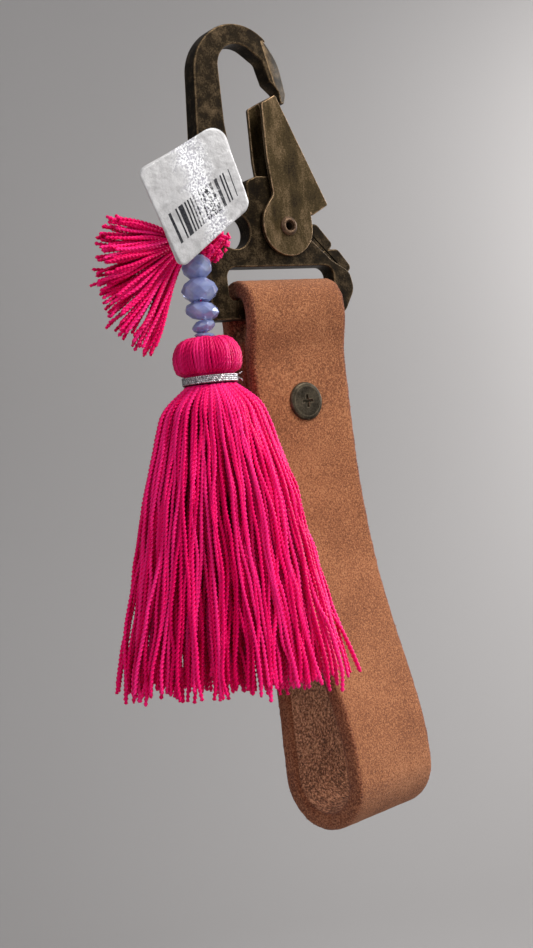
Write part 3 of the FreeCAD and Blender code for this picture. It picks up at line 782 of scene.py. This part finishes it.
def skirt_place(share, reach, angle):
    """A point of the skirt: share down its height, reach from its middle, angle round it."""
    columns = list(zip(*SKIRT_STATIONS))
    wide, deep, side, forward = [float(np.interp(share, columns[0], column)) for column in columns[1:]]
    flat = Vector((side + wide * reach * math.cos(angle), forward + deep * reach * math.sin(angle), 0.0))
    flat.rotate(Matrix.Rotation(SKIRT_LEAN, 3, "Z"))
    low, high = corners("tassel_skirt")
    string = middle("bead_thread")
    return Vector((string.x + flat.x, string.y + flat.y, high.z + (low.z - high.z) * share))


def skirt_thread(number, reach, angle, end, stray, sweep):
    """Points of one thread from the neck to its cut end; stray leads it outward and sweep sideways."""
    points = []
    for step in range(SKIRT_STEPS + 1):
        share = end * step / SKIRT_STEPS
        gather = min(share / 0.1, 1.0)
        point = skirt_place(share, reach * (1.0 + stray * share ** 2), angle + sweep * share)
        point += wander(number, share * 3.1, 0.3 + 2.1 * share) * gather
        point += wander(number + 500, share * 9.0, 0.5) * gather
        points.append(point)
    return points


def make_skirt(material):
    """Hundreds of cut strands, laid in layers, that spread and stray toward the hem."""
    random.seed(4)
    groups = [Strands() for _ in range(SKIRT_GROUPS)]
    number = 0
    for amount, reach, spread in SKIRT_LAYERS:
        for index in range(amount):
            angle = 2 * math.pi * (index + random.uniform(-0.6, 0.6)) / amount
            own = reach + random.uniform(-spread, spread)
            end = random.gauss(HEM, HEM_JITTER) + HEM_SLANT * math.cos(angle)
            if random.random() < LONG_ONES:
                end += random.uniform(0.015, 0.055)
            stray = 0.2 * random.random() ** 4 if reach > 0.9 else 0.0
            if math.cos(angle) > 0.93 and reach > 0.7:
                stray += 0.22 * random.random() ** 2
            sweep = random.gauss(0.0, 0.3 if random.random() < 0.2 else 0.1)
            points = skirt_thread(number, own, angle, end, stray, sweep)
            groups[number % SKIRT_GROUPS].lay(points, STRAND * random.uniform(0.9, 1.06))
            number += 1
    for index, group in enumerate(groups, start=1):
        nodes = ["tassel_skirt"] if index == 1 else []
        group.finish(f"skirt_threads_{index}", material, "tassel", "pink_thread", *nodes)


def head_profile():
    """Half the outline of the bound head, from its top down to the neck: (radius, height)."""
    radius = span("tassel_head").x / 2 - STRAND * 0.8
    top = corners("tassel_head")[1].z
    neck = middle("neck_band").z
    neck_radius = span("neck_band").x / 2 - 1.1
    return [(0.9, top - 1.0), (radius * 0.5, top - 0.2), (radius * 0.8, top - 0.9),
            (radius * 0.97, top - 2.6), (radius, top - 4.4), (radius * 0.93, top - 6.2),
            (neck_radius + 0.3, neck + 1.3), (neck_radius, neck)]


def make_head(material):
    """The bound head: strands that fold over the top and run down into the neck band."""
    random.seed(8)
    centre = middle("tassel_head")
    profile = head_profile()
    strands = Strands(flat=0.8, pitch=1.9)
    for index in range(HEAD_STRANDS):
        angle = 2 * math.pi * (index + random.uniform(-0.16, 0.16)) / HEAD_STRANDS
        swell = random.uniform(0.985, 1.015)
        lift = random.uniform(-0.2, 0.15)
        points = []
        for step, (reach, height) in enumerate(profile):
            sway = angle + 0.018 * math.sin(step * 1.7 + index * 0.9)
            points.append(Vector(around(centre, reach * swell, sway, height + (lift if step < 4 else 0.0))))
        strands.lay(points, STRAND * 0.92, across=(-math.sin(angle), math.cos(angle), 0.0), taper=False)
    strands.finish("tassel_head_threads", material, "tassel", "pink_thread", "tassel_head")


def make_shade_core(material):
    """The dark inside of the bound head, which closes the gaps between its strands: painted shade, a darker
    copy of the rayon where the gaps would show.
    """
    centre = middle("tassel_head")
    profile = [(CORE_HOLE, corners("tassel_head")[1].z - 1.3)]
    profile += [(radius * CORE_SHARE, height) for radius, height in head_profile()[1:]]
    profile.append((CORE_HOLE, middle("neck_band").z))
    points = [around(centre, radius, 2 * math.pi * side / CORE_SIDES, height)
              for radius, height in profile for side in range(CORE_SIDES)]
    core = new_piece("tassel_shade_core", points, ring_faces(len(profile), CORE_SIDES), [material])
    finish_piece(core, "tassel", "pink_thread")


def make_band(material):
    """Silver thread wound round the neck, with a short tail."""
    random.seed(3)
    centre = middle("neck_band")
    size = span("neck_band")
    reach = size.x / 2 - 0.24
    strands = Strands(sides=8, flat=0.8, pitch=0.9)
    points = []
    for step in range(BAND_TURNS * BAND_STEPS + 1):
        angle = 2 * math.pi * step / BAND_STEPS + BAND_START
        drop = (size.z - 0.5) * step / (BAND_TURNS * BAND_STEPS)
        points.append(around(centre, reach, angle, centre.z + size.z / 2 - 0.25 - drop))
    strands.lay(points, 0.27, across=(0.0, 0.0, 1.0), step=0.14, tone=0.5)
    for rise, drop in ((0.5, 0.5), (-0.2, -0.35), (0.1, -0.9)):
        start = Vector(around(centre, reach, TAIL_ANGLE, centre.z + rise))
        tail = [start, start + Vector((0.55, -0.35, drop * 0.4)), start + Vector((1.1, -0.3, drop))]
        strands.lay(tail, 0.13, across=(0.0, 1.0, 0.3), step=0.14, tone=0.7)
    strands.finish("neck_band_threads", material, "tassel", "silver_thread", "neck_band")


# ------------------------------------------------------------------ threads at the hook
STRING_STEPS = 6
LOOP_GAP = 0.9
BUNDLE_SHIFT = Vector((-1.4, 0.0, 1.2))
BUNDLE_CORE = 12
TIED_ENDS = 5
LITTLE_LOOPS = 44
KNOT_TURNS = 6
SMALL_TASSEL = 112


def make_string(material):
    """The doubled thread through the beads."""
    random.seed(5)
    centre = middle("bead_thread")
    low, high = corners("bead_thread")
    strands = Strands(pitch=1.6)
    for side in (-1, 1):
        points = []
        for step in range(STRING_STEPS + 1):
            share = step / STRING_STEPS
            points.append((centre.x + side * 0.15 * math.cos(share * 9),
                           centre.y + 0.15 * math.sin(share * 9 + side), high.z + (low.z - high.z) * share))
        strands.lay(points, 0.22)
    strands.finish("bead_thread_strands", material, "tassel", "pink_thread", "bead_thread")


def make_loop(material):
    """Two thin strands from the knot through the thread hole and back round the plate's left wall."""
    random.seed(6)
    strands = Strands(pitch=1.5)
    low, high = corners("thread_loop")
    knot = middle("thread_knot")
    for gap in (0.0, LOOP_GAP):
        points = [knot + Vector((0.6, 0.1, 0.0)), (-15.2, -3.9, high.z - 2.9),
                  (-12.0, low.y + 1.0, high.z - 1.9 - gap * 0.3),
                  (high.x - 2.2, low.y + 0.9, high.z - 1.1 - gap),
                  (high.x - 0.5, -1.0, high.z - 0.9 - gap), (high.x - 0.4, 1.0, high.z - 0.8 - gap),
                  (high.x - 1.6, high.y - 0.5, high.z - 1.0 - gap), (-12.0, high.y - 0.4, high.z - 1.2 - gap),
                  (-14.6, high.y - 0.9, high.z - 2.0 - gap * 0.4), (-15.4, 0.4, high.z - 3.2),
                  (-16.2, -2.6, high.z - 3.2), knot + Vector((0.3, 0.6, -0.2))]
        strands.lay(points, 0.2, across=(0.1, 0.15, 1.0))
    strands.finish("thread_loop_strands", material, "root", "pink_thread", "thread_loop")


def make_loop_bundle(material):
    """The folded ends of the small tassel's threads: a plump roll covered in little loops."""
    random.seed(9)
    centre = middle("small_tassel_loops") + BUNDLE_SHIFT
    along = Vector((0.72, 0.0, 0.69)).normalized()
    over = Vector((-0.69, 0.0, 0.72))
    out = Vector((0.0, -1.0, 0.0))
    strands = Strands(pitch=1.7)
    for index in range(BUNDLE_CORE):
        offset = over * random.uniform(-0.9, 0.9) + out * random.uniform(-0.6, 0.5)
        points = [centre + offset + along * slide + wander(index, slide * 0.3, 0.35)
                  for slide in (-3.4, -1.8, 0.6, 2.8)]
        if index < TIED_ENDS:
            points.insert(0, middle("thread_knot") + Vector((0.7, 0.0, 0.3)))
        strands.lay(points, 0.45, across=(0.05, 1.0, 0.0))
    for index in range(LITTLE_LOOPS):
        slide = -2.8 + 5.9 * ((index * 0.618) % 1.0)
        girth = math.sqrt(max(1.0 - (slide / 4.8) ** 2, 0.1))
        angle = random.uniform(-0.35, math.pi + 0.35)
        lift = over * math.cos(angle) + out * math.sin(angle)
        root = centre + along * slide + Vector((lift.x * 1.75, lift.y * 1.25, lift.z * 1.75)) * girth
        lean = (along * random.uniform(0.4, 1.0) + lift.cross(along) * random.uniform(-0.9, 0.9)).normalized()
        points = [root + lean * 0.55 * math.cos(step * 0.7) + lift * 0.5 * math.sin(step * 0.7)
                  for step in range(5)]
        strands.lay(points, 0.4, across=tuple(lean.cross(lift)), step=0.2)
    strands.finish("small_tassel_loop_threads", material, "root", "pink_thread", "small_tassel_loops")


def make_knot(material):
    """Thread wound into the knot that everything hangs from."""
    random.seed(10)
    centre = middle("thread_knot")
    strands = Strands(pitch=1.6)
    for index in range(KNOT_TURNS):
        turn = Matrix.Rotation(index * 0.9, 3, "Z") @ Matrix.Rotation(0.7 + index * 0.5, 3, "X")
        normal = turn @ Vector((0.0, 0.0, 1.0))
        points = [centre + turn @ Vector((1.2 * math.cos(step * 0.6), 1.2 * math.sin(step * 0.6),
                                          0.1 * step / 11)) for step in range(12)]
        strands.lay(points, 0.4, across=tuple(normal))
    strands.finish("knot_threads", material, "knot", "pink_thread", "thread_knot")


def make_small_tassel(material):
    """The small tassel: a burst of cut strands that spreads left and droops."""
    random.seed(21)
    centre = middle("thread_knot") + Vector((-0.8, 0.0, 0.0))
    strands = Strands()
    for index in range(SMALL_TASSEL):
        share = (index + random.uniform(-0.6, 0.6)) / SMALL_TASSEL
        angle = math.radians(160 + 81 * share)
        length = 19.6 + 3.7 * min(max(share * 2 - 0.5, 0.0), 1.0) - 1.6 * max(1.0 - share * 4, 0.0)
        length += random.uniform(-1.8, 0.8)
        depth = random.uniform(-2.9, 2.9)
        launch = math.radians(146 + 77 * share + random.uniform(-6, 6))
        points = [centre]
        for part, spread in ((0.1, 0.12), (0.26, 0.5), (0.5, 0.85), (0.78, 1.0), (1.0, 1.0)):
            aim = launch + (angle - launch) * min(part * 1.6, 1.0)
            reach = length * part
            points.append(centre + Vector((math.cos(aim) * reach, depth * spread, math.sin(aim) * reach))
                          + wander(index, part * 2.4, 0.2 + 1.3 * part))
        strands.lay(points, STRAND * random.uniform(0.88, 1.04), across=(0.05, 1.0, 0.0))
    strands.finish("small_tassel_threads", material, "knot", "pink_thread", "small_tassel")


# ------------------------------------------------------------------ price tag
TAG_CELLS = 44
TAG_TILT = math.radians(-28)
TAG_YAW = math.radians(-8)
TAG_SHIFT = Vector((0.3, -0.1, 0.45))
TAG_LOW = (Vector((-11.0, 0.0, -10.2)), Vector((7.8, 0.0, -7.5)))
TAG_HIGH = (Vector((-8.7, 0.0, 9.1)), Vector((12.0, 0.0, 9.1)))
PAPER_HALF = 0.06
CORNER_ROUND = 0.07
CORNER_CUT = 0.2


def make_tag():
    """A folded paper label: two creased layers, bent out of square, and plain bars on the front."""
    rows = [(-0.2, 0.0, 0.0, paper("tag_print", True)), (0.2, 0.1, 2.2, paper("tag_paper", False))]
    faces = grid_faces(TAG_CELLS)
    for layer, (depth, shift, skew, material) in enumerate(rows):
        points, places_on_sheet = tag_points(layer, depth, shift, math.radians(skew))
        tag = new_piece(f"price_tag_layer_{layer + 1}", points, faces, [material])
        sheet = tag.data.uv_layers.new(name="sheet")
        for loop in tag.data.loops:
            sheet.data[loop.index].uv = places_on_sheet[loop.vertex_index]
        finish_piece(tag, "tag", "paper", *(["price_tag"] if layer == 0 else []))


def tag_points(layer, depth, shift, skew):
    """Points of one layer's two sides, and where each lies on the flat sheet from 0 to 1."""
    centre = middle("price_tag") + TAG_SHIFT
    turn = Matrix.Rotation(TAG_YAW, 3, "Z") @ Matrix.Rotation(TAG_TILT, 3, "Y")
    askew = Matrix.Rotation(skew, 3, "Y")
    points = []
    places_on_sheet = []
    for side in (-1, 1):
        for row in range(TAG_CELLS + 1):
            for column in range(TAG_CELLS + 1):
                u, v = rounded_square(column / TAG_CELLS, row / TAG_CELLS)
                flat = TAG_LOW[0].lerp(TAG_LOW[1], u).lerp(TAG_HIGH[0].lerp(TAG_HIGH[1], u), v)
                offset = Vector((shift, depth + paper_curl(flat, layer) + side * PAPER_HALF, 0.0))
                points.append(turn @ (askew @ flat + offset) + centre)
                places_on_sheet.append((column / TAG_CELLS, row / TAG_CELLS))
    return points, places_on_sheet


def paper_curl(flat, layer):
    """How far the creased and bowed paper leaves its plane."""
    sample = Vector((flat.x * 0.16 + layer * 4, flat.z * 0.16, layer * 2.0))
    crease = 0.35 * noise.noise(sample) + 0.09 * noise.noise(sample * 5.0)
    bow = 0.006 * (flat.x * 0.7 + flat.z * 0.3) ** 2 - 0.3
    return crease + bow


def rounded_square(u, v):
    """Moves the points of a unit square so that its corners are round, the upper right one most."""
    x = u - 0.5
    z = v - 0.5
    radius = CORNER_CUT if x > 0 and z > 0 else CORNER_ROUND
    over_x = max(abs(x) - 0.5 + radius, 0.0)
    over_z = max(abs(z) - 0.5 + radius, 0.0)
    if over_x > 0 and over_z > 0:
        scale = max(over_x, over_z) / math.hypot(over_x, over_z)
        x = math.copysign(0.5 - radius + over_x * scale, x)
        z = math.copysign(0.5 - radius + over_z * scale, z)
    return x + 0.5, z + 0.5


def grid_faces(cells):
    """Two facing grids joined round their rims."""
    row = cells + 1
    sheet = row * row
    faces = []
    for y in range(cells):
        for x in range(cells):
            here = y * row + x
            faces.append((here, here + 1, here + row + 1, here + row))
            faces.append((sheet + here, sheet + here + row, sheet + here + row + 1, sheet + here + 1))
    rim = list(range(cells)) + [y * row + cells for y in range(cells)]
    rim += [cells * row + x for x in range(cells, 0, -1)] + [y * row for y in range(cells, 0, -1)]
    for index, here in enumerate(rim):
        there = rim[(index + 1) % len(rim)]
        faces.append((there, here, sheet + here, sheet + there))
    return faces


# ------------------------------------------------------------------ room and light
FLOOR_Z = -420.0
FLOOR_NEAR = -1600.0
SWEEP_START = 750.0
SWEEP_RADIUS = 450.0
WALL_TOP = 2400.0
ROOM_HALF = 2600.0
LIGHT_AIM = (0.0, 0.0, -70.0)
WALL_AIM = (900.0, 1300.0, -100.0)
WHITE = (1.0, 1.0, 1.0)
# Each light is (name, place, what it points at, size, power in watts, colour).
LIGHTS = [("key", (300.0, -420.0, 550.0), LIGHT_AIM, 350.0, 7.4, (1.0, 0.985, 0.96)),
          ("side", (750.0, -60.0, 120.0), LIGHT_AIM, 300.0, 4.0, WHITE),
          ("fill", (-750.0, -500.0, 250.0), LIGHT_AIM, 600.0, 2.6, (0.97, 0.98, 1.0)),
          ("low", (250.0, -600.0, -450.0), LIGHT_AIM, 500.0, 2.4, WHITE),
          ("wall", (1100.0, 500.0, 100.0), WALL_AIM, 600.0, 4.5, WHITE)]
SKY = (0.82, 0.83, 0.86, 1.0)
SKY_STRENGTH = 0.36


def make_stage():
    """A plain pale floor that sweeps up into a wall behind the object."""
    material, tree, shader = new_material("backdrop")
    tone = ramp(tree, grain(tree, places(tree), 700.0, 1.0), [(0.3, (0.385, 0.37, 0.365)),
                                                              (0.7, (0.43, 0.415, 0.41))])
    tree.links.new(tone, shader.inputs["Base Color"])
    set_inputs(shader, {"Roughness": 0.9})
    profile = [(FLOOR_NEAR, 0.0), (SWEEP_START, 0.0)]
    profile += [(SWEEP_START + SWEEP_RADIUS * math.sin(math.radians(angle)),
                 SWEEP_RADIUS - SWEEP_RADIUS * math.cos(math.radians(angle))) for angle in range(10, 91, 10)]
    profile.append((SWEEP_START + SWEEP_RADIUS, WALL_TOP))
    points = []
    for away, height in profile:
        for side in (-ROOM_HALF, ROOM_HALF):
            point = Vector((side, away, height + FLOOR_Z))
            point.rotate(Matrix.Rotation(-VIEW_YAW, 3, "Z"))
            points.append(point)
    faces = [(index * 2, index * 2 + 1, index * 2 + 3, index * 2 + 2) for index in range(len(profile) - 1)]
    new_piece("backdrop", points, faces, [material])


def area_light(name, place, aim, size, power, colour):
    """A soft square light."""
    data = bpy.data.lights.new(name, "AREA")
    data.size = size * MM
    data.energy = power
    data.color = colour
    light = link_object(name, data)
    light.location = Vector(place) * MM
    light.rotation_euler = (Vector(aim) - Vector(place)).to_track_quat("-Z", "Y").to_euler()


def make_light():
    """Soft studio light, strongest from the right and above."""
    world = bpy.data.worlds.new("studio")
    world.use_nodes = True
    set_inputs(world.node_tree.nodes["Background"], {"Color": SKY, "Strength": SKY_STRENGTH})
    bpy.context.scene.world = world
    for row in LIGHTS:
        area_light(*row)
    bpy.context.scene.view_settings.view_transform = "Standard"


# ------------------------------------------------------------------ build
make_camera()
make_stage()
make_light()
pink = thread("pink_rayon", (0.4, 0.0, 0.045), (0.86, 0.001, 0.11), (1.0, 0.03, 0.26))
# painted shade: a darker copy of the skirt's rayon for the same threads where they are bound into the head
shaded_pink_head = thread("pink_wound_shaded", (0.3, 0.0, 0.035), (0.6, 0.001, 0.075), (0.85, 0.02, 0.18))
# painted shade: a darker copy of the rayon for the inside of the head
painted_shade_pink = thread("pink_core_painted_shade", (0.25, 0.0, 0.035), (0.4, 0.0, 0.07), (0.55, 0.005, 0.11))
make_metal()
make_strap()
make_beads()
make_skirt(pink)
make_head(shaded_pink_head)
make_shade_core(painted_shade_pink)
make_band(silver_thread("silver_thread"))
make_string(pink)
make_loop(pink)
make_loop_bundle(pink)
make_knot(pink)
make_small_tassel(pink)
make_tag()
